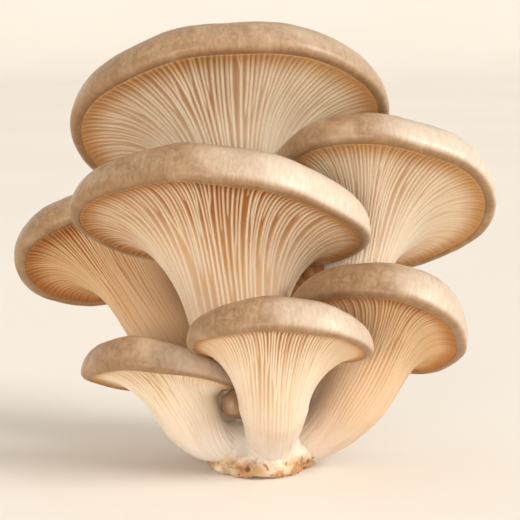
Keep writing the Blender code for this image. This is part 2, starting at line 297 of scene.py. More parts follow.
# %% [markdown]
# ## Gills
#
# Gills are thin upright blades, about 2 mm apart at the rim. Only some of them reach the
# stem: where the fan opens, shorter ones start between the long ones, often as a fork
# from a neighbour. They could be a bump in the material, but then their edges would not
# catch the light, so they are modelled. Every fourth gill is long, and a middling one
# and two short ones stand between; on a small cap the middling one is long too. Each
# gets a path, and a height that rises where the gill starts. A point of the mesh then
# sinks into the flesh by how far it is from the nearest gill.

# %% Where each gill runs
FIRST_SEED = 11
NEVER_STARTS = -2.0  # the start of a gill that runs on down the stem
SMALL_CAP = 26
FORK_LENGTH = 0.16


def gill_plan(m, seed):
    """For each gill: where it starts, which neighbour it forks from, and its drift."""
    draw = np.random.default_rng(seed)
    n = m["gills"]
    kind = np.arange(n) % 4
    full = np.full(n, NEVER_STARTS)
    small = m["front"] < SMALL_CAP
    middling = full if small else draw.uniform(0.02, 0.45, n)
    short = draw.uniform(0.0, 0.6, n) if small else draw.uniform(0.35, 0.86, n)
    start = np.choose(kind, [full, short, middling, short])
    return dict(
        start=start,
        fork=draw.choice([-1.0, 0, 0, 0, 0, 1.0], n),
        height=np.where(kind % 2 == 0, draw.uniform(0.85, 1.0, n), draw.uniform(0.6, 1.0, n)),
        phase=draw.uniform(0, 2 * pi, n),
        pitch=draw.uniform(0.7, 1.5, n),
        lean=draw.uniform(-0.18, 0.18, n),
    )


def gill_drift(plan, t):
    """How far each gill is from its even place, in gill spacings."""
    sway = 0.1 * np.sin(2 * pi * plan["pitch"] * t + plan["phase"]) + plan["lean"]
    forked = np.where(plan["start"] > -1, 1 - soft_step((t - plan["start"]) / FORK_LENGTH), 0)
    return sway, plan["fork"] * 0.85 * forked


plans = {}
for seed, (place, m) in enumerate(MUSHROOMS.items(), FIRST_SEED):
    plans[place] = gill_plan(m, seed)
    print(place, "has", int((plans[place]["start"] < -1).sum()), "gills that reach the stem")

# %% [markdown]
# The mesh has six columns to a gill, and they follow its drift, so that a column always
# runs along the crest. The relief is 1 on a crest and falls to 0 in the valley.

# %% Relief of the gills
PER_GILL = 6
LOOK_ASIDE = 5  # gills on either side that can be the nearest one


def column_angles(m, plan, t):
    n = m["gills"]
    sway, fork = gill_drift(plan, t)
    offset = sway + 0.3 * fork
    k = np.arange(n * PER_GILL)
    part = (k % PER_GILL) / PER_GILL
    left = offset[k // PER_GILL]
    right = offset[(k // PER_GILL + 1) % n]
    return (k / PER_GILL + left * (1 - part) + right * part) * 2 * pi / n


def relief(m, plan, t, angle, radius):
    """1 on the crest of a gill, 0 in the open valley. radius is in mm, along the ring."""
    n = m["gills"]
    sway, fork = gill_drift(plan, t)
    crest = (np.arange(n) + sway + fork) * 2 * pi / n
    grown = plan["height"] * np.where(plan["start"] > -1, soft_step((t - plan["start"] + 0.05) / 0.1), 1)
    base = np.round(angle * n / (2 * pi)).astype(int)
    half = 0.22 + 0.006 * m["front"]
    best = np.zeros(len(angle))
    for step in range(-LOOK_ASIDE, LOOK_ASIDE + 1):
        j = (base + step) % n
        away = (angle - crest[j] + pi) % (2 * pi) - pi
        best = np.maximum(best, grown[j] / (1 + (np.abs(away) * radius / half) ** 3))
    return best


sample = relief(MUSHROOMS["top"], plans["top"], 0.9, np.linspace(0, 0.2, 9), np.full(9, 40.0))
print("relief across four gills:", sample.round(2))

# %% [markdown]
# ## From rings to a mesh
#
# A piece is a stack of rings with the same number of points, closed by a point at each
# end. Foreach calls hand the arrays to Blender in one go. Numbers go with each point for
# the materials, such as how deep it lies between gills and how far up the mushroom.

# %% Loft
def note_numbers(mesh, key, values):
    """Stores one number, or one vector, for each point of the mesh."""
    vector = np.ndim(values) == 2
    layer = mesh.attributes.new(key, "FLOAT_VECTOR" if vector else "FLOAT", "POINT")
    layer.data.foreach_set("vector" if vector else "value", np.asarray(values, np.float32).ravel())


def loft(name, first, rings, last, numbers):
    """rings run from first to last. numbers maps an attribute's name to its values."""
    rings = np.asarray(rings)
    rows, n = rings.shape[:2]
    points = np.concatenate([[first], rings.reshape(-1, 3), [last]])
    j = np.arange(n)
    k = (j + 1) % n
    start = np.stack([np.zeros(n, int), 1 + j, 1 + k], axis=1)
    body = []
    for r in range(rows - 1):
        a, b = 1 + r * n, 1 + (r + 1) * n
        body.append(np.stack([a + j, b + j, b + k, a + k], axis=1))
    quads = np.concatenate(body)
    top = 1 + (rows - 1) * n
    end = np.stack([top + j, np.full(n, top + n), top + k], axis=1)
    mesh = bpy.data.meshes.new(name)
    mesh.vertices.add(len(points))
    mesh.vertices.foreach_set("co", (points * MM).astype(np.float32).ravel())
    corners = np.concatenate([start.ravel(), quads.ravel(), end.ravel()]).astype(np.int32)
    sizes = np.concatenate([np.full(n, 3), np.full(len(quads), 4), np.full(n, 3)])
    mesh.loops.add(len(corners))
    mesh.loops.foreach_set("vertex_index", corners)
    mesh.polygons.add(len(sizes))
    mesh.polygons.foreach_set("loop_start", np.concatenate([[0], np.cumsum(sizes)[:-1]]).astype(np.int32))
    mesh.update(calc_edges=True)
    mesh.shade_smooth()
    for key, values in numbers.items():
        values = np.asarray(values)
        flat = values.reshape(-1, *values.shape[2:])
        note_numbers(mesh, key, np.concatenate([flat[:1], flat, flat[-1:]]))
    piece = bpy.data.objects.new(name, mesh)
    bpy.context.scene.collection.objects.link(piece)
    return piece


print("loft ready")

# %% [markdown]
# ## Gills and stem as one piece
#
# Stem and gills are one flesh, so they are one mesh: rows up the stem, rows from the
# throat to the lip, and a closed upper face hidden under the cap. Gill crests stay on
# the underside's own surface and valleys sink into it, deepest near the thick front
# rim. Low ridges run on from the long gills and fade down the stem.

# %% Valleys and hidden face
FULL_CAP = 32  # caps that reach this far forward have full valleys and a full roll
FLESH_BELOW_DISH = 3.2
OVER_THROAT = 0.4


def valley_depth(m, angle, t):
    """In mm: 1 at most, under the thick front rim of a large cap."""
    size = min(1.0, 0.25 + 0.75 * m["front"] / FULL_CAP)
    depth = size * (0.07 + 0.93 * front_share(m, angle)[:, 0] ** 2)
    return depth * soft_step((1 - t) / 0.05) * (0.2 + 0.8 * soft_step((t - 0.1) / 0.75))


def above_stem(m, rise):
    """The middle of the dish, moved from the cap's centre part of the way over the throat."""
    side, front, up = cap_axes(m)
    throat = np.array(m["stem"][3]) - np.array(m["centre"])
    plan = OVER_THROAT * (throat @ side) * side + OVER_THROAT * (throat @ front) * front
    return np.array(m["centre"]) + plan + rise * up


def hidden_face(m, angle):
    """Rings of the face that the cap covers, and the point where they meet."""
    up = cap_axes(m)[2]
    size = min(1.0, 0.4 + 0.6 * m["front"] / FULL_CAP)
    out = outward(m, angle)
    edge = lip(m, angle)
    middle = above_stem(m, m["dish"] - FLESH_BELOW_DISH)
    height = (2.2 + 2.6 * front_share(m, angle)) * size
    near = edge - out * 1.4 * size + up * (0.75 * height + 0.3)
    far = edge - out * 5.0 * size + up * height
    return [edge - out * GAP + up * LIP_HEIGHT, near, far, 0.5 * far + 0.5 * middle], middle


deepest = max(valley_depth(m, angles, 0.9).max() for m in MUSHROOMS.values())
print("deepest valley in mm:", round(float(deepest), 2))

# %% [markdown]
# Each row of points carries its numbers with it. The first is how much painted shade a
# point gets: 0 on a crest and 1 in an open valley. along runs from -1 at the root through
# 0 at the throat to 1 at the lip, tone is how brown the flesh is, partly as painted shade,
# and grain is, for now, the angle round the mushroom.

# %% Rows up the stem
STEM_ROWS = 22
ROOT_TONE = 0.2  # share of a mushroom's own tone that is left at its root


def stem_rows(m, plan):
    run = m.get("run", 0.4)
    angle = column_angles(m, plan, 0.0)
    for s in np.arange(STEM_ROWS) / STEM_ROWS:
        ring = stem_ring(m, s, angle)
        out = unit(ring - stem_line(m, s)[0])
        fade = soft_step((s - run) / (1 - run))
        height = relief(m, plan, 0.0, angle, np.full(len(angle), radius_at(m, s)))
        depth = valley_depth(m, angle, 0.0) * fade ** 1.5 * (1 - height)
        streak = 0.07 * np.sin(23 * angle + 3 * s) + 0.05 * np.sin(41 * angle - 5 * s)
        streak = streak + 0.12 * np.sin(3 * angle + 9 * s + m["wave"][1])
        tone = m["tone"] * (ROOT_TONE + (1 - ROOT_TONE) * s)
        yield ring + out * (streak * (1 - fade) - depth)[:, None], {
            "sunk": (1 - height) * fade * 0.8,
            "along": np.full(len(angle), s - 1),
            "grain": angle,
            "tone": np.full(len(angle), tone),
        }


print("points round the top mushroom's stem:", len(next(stem_rows(MUSHROOMS["top"], plans["top"]))[0]))

# %% [markdown]
# Under the cap the valleys get their darkest painted shade in the middle of the front.
# Towards the back the edge of the flesh is thin and painted golden brown, a painted glow
# of light shining through it, most on the right, and on the left it gets painted shade.

# %% Rows from the throat to the lip
UNDERSIDE_ROWS = np.concatenate([np.linspace(0, 0.9, 31), np.linspace(0.92, 1.0, 9)])


def valley_darkness(m, angle, t):
    strong = (0.35 + 0.65 * front_share(m, angle)[:, 0] ** 6) * (0.6 + 0.4 * soft_step((t - 0.1) / 0.7))
    # painted shade in the valleys, darkest at the front; glow paints the right side paler, a painted glow
    # of light through the flesh
    right = soft_step(0.3 + 0.7 * np.cos(angle))
    return strong * m.get("deep", 1.0) * (1 - m.get("glow", 0.0) * right)


def underside_rows(m, plan):
    for t in UNDERSIDE_ROWS:
        angle = column_angles(m, plan, t)
        ring = underside(m, angle, t)
        across = underside(m, angle + 0.004, t) - underside(m, angle - 0.004, t)
        onward = underside(m, angle, min(t + 0.01, 1)) - underside(m, angle, max(t - 0.01, 0))
        radius = np.linalg.norm(across, axis=-1) / 0.008
        height = relief(m, plan, t, angle, radius)
        depth = valley_depth(m, angle, t) * (1 - height)
        # the left side gets painted shade, and the thin back edge a golden brown painted glow, most on the
        # right
        left = 0.5 - 0.5 * np.cos(angle)
        edge = (1 - front_share(m, angle)[:, 0]) * soft_step((t - 0.35) / 0.65)
        yield ring + unit(np.cross(across, onward)) * depth[:, None], {
            "sunk": (1 - height) * valley_darkness(m, angle, t) + 0.45 * edge * left,
            "along": np.full(len(angle), t),
            "grain": angle,
            "tone": m["tone"] + edge * (0.85 - 0.45 * left),
        }


print("rows from throat to lip:", len(UNDERSIDE_ROWS))

# %% [markdown]
# The rows of the hidden face close the piece. Then grain becomes a place on a tube as
# wide as the cap, so that fibres in the colour run along it.

# %% Gills and stem
def gills_and_stem(place):
    m, plan = MUSHROOMS[place], plans[place]
    rows = [*stem_rows(m, plan), *underside_rows(m, plan)]
    at_lip = rows[-1][1]
    rings, middle = hidden_face(m, at_lip["grain"])
    full = np.ones(len(at_lip["grain"]))
    rows += [(ring, dict(at_lip, sunk=full, along=full)) for ring in rings]
    numbers = {key: np.array([notes[key] for ring, notes in rows]) for key in at_lip}
    angle, along = numbers["grain"], numbers["along"]
    size = 0.5 * sum(m["half_width"])
    tube = np.stack([size * np.cos(angle), size * np.sin(angle), size * along], axis=-1)
    numbers["grain"] = tube * MM
    root = np.array(m["stem"][0], float)
    return loft("gills_" + place, root, [ring for ring, notes in rows], middle, numbers)


flesh_pieces = {}
for place in MUSHROOMS:
    piece = gills_and_stem(place)
    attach(piece, "root")
    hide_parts("gills_and_stem_" + place)
    flesh_pieces[place] = piece
    print(piece.name, len(piece.data.polygons), "faces")

# %% [markdown]
# ## Caps
#
# The skin of a cap is smooth and a little silky, with low dents and a faint wave along
# its rolled rim. It is a loft too: from the lip round the roll, over the shoulder, and
# in to the shallow dish above the stem. Dents are sums of slow waves, so they are the
# same each time. The inner face follows the flesh just below it. Where a cap faces the
# light, its skin is painted paler, a painted highlight, and each point notes by how much.

# %% Dents and lighter sides
CAP_COLUMNS = 192
TO_LIGHT = np.array([0.78, -0.46, 0.42])


def dents(m, place_on_cap, angle):
    """Slow waves, in mm, over the skin."""
    phase = m["wave"][1]
    low = 0.22 * np.sin(5 * angle + 3 * place_on_cap + phase)
    low = low + 0.16 * np.sin(9 * angle - 5 * place_on_cap + 2 * phase)
    fine = 0.07 * np.sin(19 * angle + 9 * place_on_cap)
    fine = fine + 0.05 * np.sin(31 * angle - 7 * place_on_cap + phase)
    return low + fine


def facing_light(inward):
    """1 where the skin faces the light. inward points into the flesh."""
    return soft_step((-(inward @ TO_LIGHT) - 0.45) / 0.5)


print("a face turned to the light pales by", facing_light(-unit(TO_LIGHT)).round(2))

# %% Caps
ROLL_STEPS = [*np.linspace(ROLL_START, 0, 9), *np.linspace(8, 90, 12)]
DISH_STEPS = np.linspace(0, 0.97, 20)[1:]


def cap(place):
    m = MUSHROOMS[place]
    up = cap_axes(m)[2]
    angle = np.arange(CAP_COLUMNS) * 2 * pi / CAP_COLUMNS
    inner, middle = hidden_face(m, angle)
    lift = up * 1.3 * GAP
    rows = [ring + lift for ring in inner[::-1]]
    rows[-1] = lip(m, angle) + up * (LIP_HEIGHT + 1.3 * GAP)
    rings = [rim_line(m, angle, a) for a in ROLL_STEPS]
    shoulder = rings[-1]
    dish = above_stem(m, m["dish"])
    reach = np.linalg.norm(shoulder - dish, axis=-1, keepdims=True)
    level = (shoulder - dish) - np.sum((shoulder - dish) * up, -1, keepdims=True) * up
    first = shoulder - outward(m, angle) * reach * 0.35
    last = dish + unit(level) * reach * 0.35
    rings += [bezier(shoulder, first, last, dish, t) for t in DISH_STEPS]
    rings = np.array(rings)
    onward = np.gradient(rings, axis=0)
    across = np.roll(rings, -1, axis=1) - np.roll(rings, 1, axis=1)
    inward = unit(np.cross(across, onward))
    walked = np.cumsum(np.linalg.norm(np.diff(rings, axis=0, prepend=rings[:1]), axis=-1), axis=0)
    grow = soft_step(walked / 3)
    bump = dents(m, walked / 20, angle[None, :]) * grow * (1 - soft_step((walked - 25) / 40) * 0.5)
    rings = rings - inward * (0.25 * grow + 0.5 * bump)[..., None]
    hidden = np.ones((len(rows), CAP_COLUMNS))
    height = np.concatenate([-hidden, walked])
    # painted highlight: how much paler the skin is painted where it faces the light
    bleach = np.concatenate([0 * hidden, m["bleach"] * facing_light(inward)])
    # grain lies on a tube that narrows to the dish, so that threads run in to its middle
    size = 0.5 * sum(m["half_width"])
    turned = np.broadcast_to(angle, height.shape)
    spread = size * (1 - 0.7 * soft_step((height - 12) / (0.8 * size)))
    tube = np.stack([spread * np.cos(turned), spread * np.sin(turned), height], axis=-1) * MM
    numbers = {"from_lip": height * MM, "grain": tube, "bleach": bleach}
    return loft("skin_" + place, middle + lift, np.concatenate([rows, rings]), dish, numbers)


cap_pieces = {}
for place in MUSHROOMS:
    piece = cap(place)
    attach(piece, "root")
    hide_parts("cap_" + place)
    cap_pieces[place] = piece
    print(piece.name, len(piece.data.polygons), "faces")

# %% [markdown]
# ## The cut base
#
# All the stems leave one foot, which was torn and cut from the block it grew on: a low
# mound, flat underneath, with pits and torn fibres. Stems and foot are one flesh, so a
# sharp line between them would look wrong. The mound is joined with a short sleeve
# round the root of each stem, and a voxel remesh melts them together into soft fillets.

# %% Mound and sleeves
BASE_CENTRE = (-0.5, 3.2)
BASE_HALF = (17.5, 24.5)
BASE_PROFILE = ((0.93, 0.0), (1.0, 1.6), (1.02, 4.0), (0.93, 6.8), (0.74, 9.2), (0.42, 11.0))
BASE_TOP = 11.8
BASE_SIDES = 120
SLEEVE_SIDES = 40
SLEEVE_END = 0.42  # share of the stem that a sleeve covers


def clockwise(sides):
    return -np.arange(sides) * 2 * pi / sides


def mound_rings(angle):
    rings = []
    for k, (share, height) in enumerate(BASE_PROFILE):
        rough = 0.03 * np.sin(5 * angle + 1.7 * k) + 0.025 * np.sin(9 * angle - 2.3 * k)
        rough = rough + 0.02 * np.sin(13 * angle + 0.9 * k * k)
        x = BASE_CENTRE[0] + BASE_HALF[0] * share * (1 + rough) * np.cos(angle)
        y = BASE_CENTRE[1] + BASE_HALF[1] * share * (1 + rough) * np.sin(angle)
        z = height + 0.5 * np.sin(7 * angle + 2.1 * k) * (k > 1)
        rings.append(np.stack([x, y, z], axis=-1))
    return rings


def sleeve(place):
    """The lowest part of a stem, thicker at the root, thinner than the stem at its top."""
    m = MUSHROOMS[place]
    angle = clockwise(SLEEVE_SIDES)
    rings = []
    for s in np.linspace(0.0, SLEEVE_END, 9):
        at = stem_line(m, s)[0]
        rings.append(at + (stem_ring(m, s, angle) - at) * (1.12 - 0.5 * s))
    return loft("sleeve_" + place, stem_line(m, 0.0)[0], rings, stem_line(m, SLEEVE_END)[0], {})


def melt_together(thing, voxel, rounds, factor=0.5):
    """Melts the bodies in a mesh into one, and softens it. voxel is in mm."""
    remesh = thing.modifiers.new("melt", "REMESH")
    remesh.mode = "VOXEL"
    remesh.voxel_size = voxel * MM
    smooth = thing.modifiers.new("soften", "SMOOTH")
    smooth.factor = factor
    smooth.iterations = rounds
    graph = bpy.context.evaluated_depsgraph_get()
    mesh = bpy.data.meshes.new_from_object(thing.evaluated_get(graph))
    thing.modifiers.clear()
    thing.data = mesh
    return mesh


floor_point = np.array([*BASE_CENTRE, 0.0])
top_point = np.array([*BASE_CENTRE, BASE_TOP])
foot = loft("torn_foot", floor_point, mound_rings(clockwise(BASE_SIDES)), top_point, {})
parts = [foot] + [sleeve(place) for place in MUSHROOMS]
whole = bmesh.new()
for part in parts:
    whole.from_mesh(part.data)
whole.to_mesh(foot.data)
whole.free()
for part in parts[1:]:
    bpy.data.objects.remove(part, do_unlink=True)
melted = melt_together(foot, 0.45, 14, 0.6)
print("torn foot:", len(melted.polygons), "faces")

# %% [markdown]
# The torn surface is rough in two sizes: lumps of 3 to 5 mm, and pits of one or two
# millimetres where fibres pulled out, most of them where the tear is raw. All come from
# one noise function, and only the low part of the foot is torn: the sleeves above stay
# smooth. Nothing goes below the flat cut face. Each point also notes, for the material,
# how torn, pitted and raw it is.

# %% Torn surface
TORN_UP_TO = 3.5  # in mm; the tear fades out over the next 5
LUMPS, FIBRES, PITS, RAW_PATCHES = 0.28, 0.9, 0.6, 0.11  # how many fit in a millimetre
LUMP_DEPTH, FIBRE_DEPTH, PIT_DEPTH = 0.8, 0.4, 3.2
HIGHEST_LUMP = 0.35


def read_vectors(mesh, key):
    flat = np.empty(len(mesh.vertices) * 3, np.float32)
    mesh.vertices.foreach_get(key, flat)
    return flat.reshape(-1, 3)


count = len(melted.vertices)
places = read_vectors(melted, "co")
normals = read_vectors(melted, "normal")
torn = 1 - soft_step((places[:, 2] / MM - TORN_UP_TO) / 5.0)
depth = np.zeros(count)
raws = np.zeros(count)
for i in range(count):
    p = Vector(places[i]) / MM
    lumps = noise.noise(p * LUMPS)
    upright = Vector((p.x * FIBRES, p.y * FIBRES, p.z * FIBRES / 2))
    fibres = noise.noise(upright + Vector((7, 3, 1)))
    side = 0.25 + 0.06 * p.x if p.y < 0 else 0.4  # the front is rawer on its right
    raw = soft_step(0.5 + side + 1.3 * noise.noise(p * RAW_PATCHES + Vector((4.5, 1, 3))))
    raws[i] = raw
    pits = max(0.0, noise.noise(p * PITS + Vector((2, 9, 4))) - 0.3)
    depth[i] = LUMP_DEPTH * lumps + raw * (FIBRE_DEPTH * fibres - PIT_DEPTH * pits)
depth = np.minimum(depth * torn, HIGHEST_LUMP)
places = places + normals * (depth * MM)[:, None]
places[:, 2] = np.maximum(places[:, 2], 0)
melted.vertices.foreach_set("co", places.astype(np.float32).ravel())
note_numbers(melted, "torn", torn)
note_numbers(melted, "pit", np.clip(-depth * 0.6, 0, 1))
note_numbers(melted, "raw", raws * (1 - soft_step((places[:, 2] / MM - 3.0) / 4.5)))
print("deepest pit in mm:", round(float(-depth.min()), 2))

# %% [markdown]
# Some of the stems are painted browner than others, partly as painted shade where a stem
# stands in the shade of the others, so each sleeve takes the tone of its own stem: a
# point is mostly as brown as the stem whose middle line it is nearest to.

# %% Tone of the sleeves
NEAR_STEM = 4.0  # mm over which one stem's tone gives way to the next
near, tones = np.zeros(count), np.zeros(count)
for m in MUSHROOMS.values():
    middle_line = [stem_line(m, s)[0] for s in np.linspace(0, SLEEVE_END, 12)]
    away = np.min([np.linalg.norm(places / MM - point, axis=1) for point in middle_line], axis=0)
    weight = np.exp(-(away / NEAR_STEM) ** 2) + 1e-9
    near += weight
    tones += weight * m["tone"] * ROOT_TONE
note_numbers(melted, "tone", tones / near)
melted.shade_smooth()
melted.update()
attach(foot, "root")
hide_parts("cut_base")
print("brownest sleeve:", round(float((tones / near).max()), 2))

# %% [markdown]
# ## Young buds
#
# Beside the upper right stem sit a few buds that never opened, each the size of a pea
# or less. They are rounded knobs that grow out of one another, so they are spheres
# melted into one body, as the foot is.

# %% Buds
BUDS = (
    ((17.8, 15.5, 55.6), 3.0),
    ((15.0, 15.3, 58.0), 2.6),
    ((12.2, 15.8, 55.6), 2.4),
    ((14.4, 14.4, 53.2), 2.4),
    ((18.2, 15.6, 59.6), 2.2),
    ((13.0, 16.4, 59.6), 1.8),
    ((11.0, 15.0, 52.6), 2.2),
    ((9.4, 14.6, 50.9), 1.7),
)
knobs = bmesh.new()
for centre, radius in BUDS:
    place = Matrix.Translation(Vector(centre) * MM) @ Matrix.Diagonal((1.0, 1.0, 1.15, 1.0))
    bmesh.ops.create_icosphere(knobs, subdivisions=3, radius=radius * MM, matrix=place)
bud_mesh = bpy.data.meshes.new("young_buds")
knobs.to_mesh(bud_mesh)
knobs.free()
buds = bpy.data.objects.new("young_buds", bud_mesh)
bpy.context.scene.collection.objects.link(buds)
melted_buds = melt_together(buds, 0.3, 6)
melted_buds.shade_smooth()
# the buds take the valley colour and the brownest tone: painted shade of the dark gap they sit in
for key, value in (("sunk", 0.7), ("along", 0.5), ("tone", 1.3)):
    note_numbers(melted_buds, key, np.full(len(melted_buds.vertices), value))
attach(buds, "root")
print("buds:", len(melted_buds.polygons), "faces")

# %% [markdown]
# ## A young mushroom
#
# In the gap between the lower left and front stems there is a button that never opened:
# a brown closed cap on a short stalk. It is a stack of level rings, each with its own
# height and radius, leaning away from the big stem behind it. Its skin is smoother than
# a grown cap's, so the pattern on it is drawn two and a half times as large.

# %% Young mushroom
YOUNG_ROOT = (-7.3, -7.0, 16.0)
YOUNG_LEAN = (-1.4, -2.8, 0)
YOUNG_PROFILE = ((0.0, 1.1), (1.2, 1.7), (2.2, 3.4), (3.4, 4.0), (5.2, 4.1), (7.2, 3.6), (8.8, 2.3))
YOUNG_TOP = 9.7
YOUNG_SIDES = 64
YOUNG_PATTERN = 0.4
angle = clockwise(YOUNG_SIDES)
plan = np.stack([np.cos(angle), np.sin(angle), 0 * angle], axis=-1)
knots = np.array(YOUNG_PROFILE)
heights = np.concatenate([np.linspace(0, knots[-1, 0], 30), [YOUNG_TOP - 0.4, YOUNG_TOP - 0.1]])
radii = np.interp(heights, np.append(knots[:, 0], YOUNG_TOP), np.append(knots[:, 1], 0.0))
radii = np.convolve(np.pad(radii, 2, mode="edge"), np.ones(5) / 5, mode="valid")
rings = [
    np.array(YOUNG_ROOT) + np.array(YOUNG_LEAN) * soft_step(h / 3) + r * plan + np.array([0, 0, h])
    for h, r in zip(heights, radii)
]
young_top = np.array(YOUNG_ROOT) + np.array(YOUNG_LEAN) + np.array([0, 0, YOUNG_TOP])
from_root = np.repeat(heights[:, None], YOUNG_SIDES, axis=1)
turned = np.broadcast_to(angle, from_root.shape)
tube = np.stack([4 * np.cos(turned), 4 * np.sin(turned), from_root], axis=-1) * MM * YOUNG_PATTERN
numbers = {"from_lip": (from_root + 2) * MM, "grain": tube}
young = loft("young_skin", np.array(YOUNG_ROOT), rings, young_top, numbers)
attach(young, "root")
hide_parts("young_mushroom")
print("young mushroom:", len(young.data.polygons), "faces")

# %% [markdown]
# ## Colour and nodes
#
# Colours are picked as sRGB hex values, the way a colour picker shows them, and turned
# to the linear values that the renderer works in. One small function adds any node with
# its settings and links: an input is named, or given as i and its number where several
# inputs share a name. A mix lays a colour over another, and a tint multiplies the two,
# which darkens and keeps the pattern below.

# %% Material helpers
def colour(hex_value):
    parts = [int(hex_value[i:i + 2], 16) / 255 for i in (1, 3, 5)]
    return tuple(c / 12.92 if c <= 0.04045 else ((c + 0.055) / 1.055) ** 2.4 for c in parts) + (1.0,)


MIX = {"data_type": "RGBA"}
TINT = {"data_type": "RGBA", "blend_type": "MULTIPLY"}


def set_stops(node, stops):
    node.color_ramp.interpolation = "EASE"
    while len(node.color_ramp.elements) < len(stops):
        node.color_ramp.elements.new(0.5)
    for element, (place, hex_value) in zip(node.color_ramp.elements, stops):
        element.position = place
        element.color = colour(hex_value)


def add(tree, kind, settings=None, **links):
    """settings are the node's properties; links are values or sockets for its inputs."""
    node = tree.nodes.new(kind)
    for key, value in (settings or {}).items():
        if key == "stops":
            set_stops(node, value)
        else:
            setattr(node, key, value)
    for key, value in links.items():
        socket = node.inputs[int(key[1:])] if key[1:].isdigit() else node.inputs[key.replace("_", " ")]
        if isinstance(value, bpy.types.NodeSocket):
            tree.links.new(value, socket)
        else:
            socket.default_value = value
    return node


def new_material(name, finish):
    """finish holds the numbers and colours that are the same all over the surface."""
    material = bpy.data.materials.new(name)
    material.use_nodes = True
    shader = material.node_tree.nodes["Principled BSDF"]
    for key, value in finish.items():
        shader.inputs[key].default_value = value
    return material, material.node_tree, shader


def dress(material, pieces):
    for piece in pieces:
        piece.data.materials.clear()
        piece.data.materials.append(material)


print("cream #F1E2CB is", [round(c, 3) for c in colour("#F1E2CB")])

# %% [markdown]
# ## Gill flesh
#
# The flesh of gills and stem is moist and waxy inside and matt outside: light goes a
# millimetre or two into it and comes back warm, so its edges look soft. Crests are
# cream, and the open valleys between gills are painted ochre and darker: painted shade,
# warm as light that reaches them has passed through flesh. The stem is the palest part,
# with long faint fibres.

# %% Gill flesh material
def tone_and_painted_shade(tree, paint):
    """Some of the seven mushrooms are painted browner than others, partly as painted shade."""
    tone = add(tree, "ShaderNodeAttribute", {"attribute_name": "tone"}).outputs["Fac"]
    share = add(tree, "ShaderNodeMath", {"operation": "MULTIPLY"}, i0=tone, i1=0.75).outputs[0]
    return add(tree, "ShaderNodeMix", TINT, i0=share, i6=paint, i7=colour("#DDBE97")).outputs[2]


# colours from the root, at 0, through the throat, at 0.5, to the lip, at 1
# crests and valleys turn brown towards the lip, painted shade under the rolled rim; the valley colours are
# painted shade
CREST = [(0.0, "#EAE3DB"), (0.35, "#E8DFD5"), (0.7, "#F4E9D8"), (0.92, "#F3E4CB"), (1.0, "#D0A26C")]
OPEN_VALLEY = [(0.0, "#E9E0D6"), (0.45, "#E8D2B6"), (0.7, "#DAB07C"), (0.88, "#BA7E48"), (1.0, "#9A6433")]
gill_flesh, tree, shader = new_material("moist_gill_flesh", {
    "Roughness": 0.62,
    "IOR": 1.38,
    "Specular IOR Level": 0.35,
    "Subsurface Weight": 0.75,
    "Subsurface Radius": (1.0, 0.7, 0.5),
    "Subsurface Scale": 0.0013,
})
sunk = add(tree, "ShaderNodeAttribute", {"attribute_name": "sunk"}).outputs["Fac"]
along = add(tree, "ShaderNodeAttribute", {"attribute_name": "along"}).outputs["Fac"]
grain = add(tree, "ShaderNodeAttribute", {"attribute_name": "grain"}).outputs["Vector"]
up_the_mushroom = add(tree, "ShaderNodeMapRange", i0=along, i1=-1.0, i2=1.0).outputs[0]
crest = add(tree, "ShaderNodeValToRGB", {"stops": CREST}, i0=up_the_mushroom).outputs[0]
valley = add(tree, "ShaderNodeValToRGB", {"stops": OPEN_VALLEY}, i0=up_the_mushroom).outputs[0]
deep = add(tree, "ShaderNodeMapRange", i0=sunk, i1=0.1, i2=0.95).outputs[0]
paint = add(tree, "ShaderNodeMix", MIX, i0=deep, i6=crest, i7=valley).outputs[2]
paint = tone_and_painted_shade(tree, paint)
# patches of 10 to 15 mm where the flesh is a little browner
patches = add(tree, "ShaderNodeTexNoise", Vector=grain, Scale=80.0, Detail=3.0).outputs["Fac"]
patch_share = add(tree, "ShaderNodeMapRange", i0=patches, i1=0.42, i2=0.72, i3=0.0, i4=0.35).outputs[0]
paint = add(tree, "ShaderNodeMix", TINT, i0=patch_share, i6=paint, i7=colour("#E2CDB2")).outputs[2]
# fibres run along the stem and gills: 0.5 mm apart on the real one, drawn at 0.8 mm
stretched = add(tree, "ShaderNodeMapping", Vector=grain, Scale=(1.0, 1.0, 0.12)).outputs[0]
fibres = add(tree, "ShaderNodeTexNoise", Vector=stretched, Scale=1200.0, Detail=2.0).outputs["Fac"]
fibre_share = add(tree, "ShaderNodeMapRange", i0=fibres, i1=0.3, i2=0.7, i3=0.0, i4=0.08).outputs[0]
paint = add(tree, "ShaderNodeMix", TINT, i0=fibre_share, i6=paint, i7=colour("#D9C2A6")).outputs[2]
tree.links.new(paint, shader.inputs["Base Color"])
bump = add(tree, "ShaderNodeBump", Height=fibres, Distance=0.0001, Strength=0.25).outputs[0]
tree.links.new(bump, shader.inputs["Normal"])
dress(gill_flesh, [*flesh_pieces.values(), buds])
print("gill flesh on", len(flesh_pieces), "pieces")

# %% [markdown]
# ## Cap skin
#
# The skin of an oyster mushroom is a thin dry layer of fine threads, so it is silky,
# not wet: soft broad highlights, and threads that run out from the stem over the rim.
# It is tan, with cloudy mottling of about 3 mm and paler patches of about 10 mm where the
# threads have thinned. Painted shade makes it darkest brown at the inner edge of the roll,
# with a paler painted highlight a few millimetres above it.

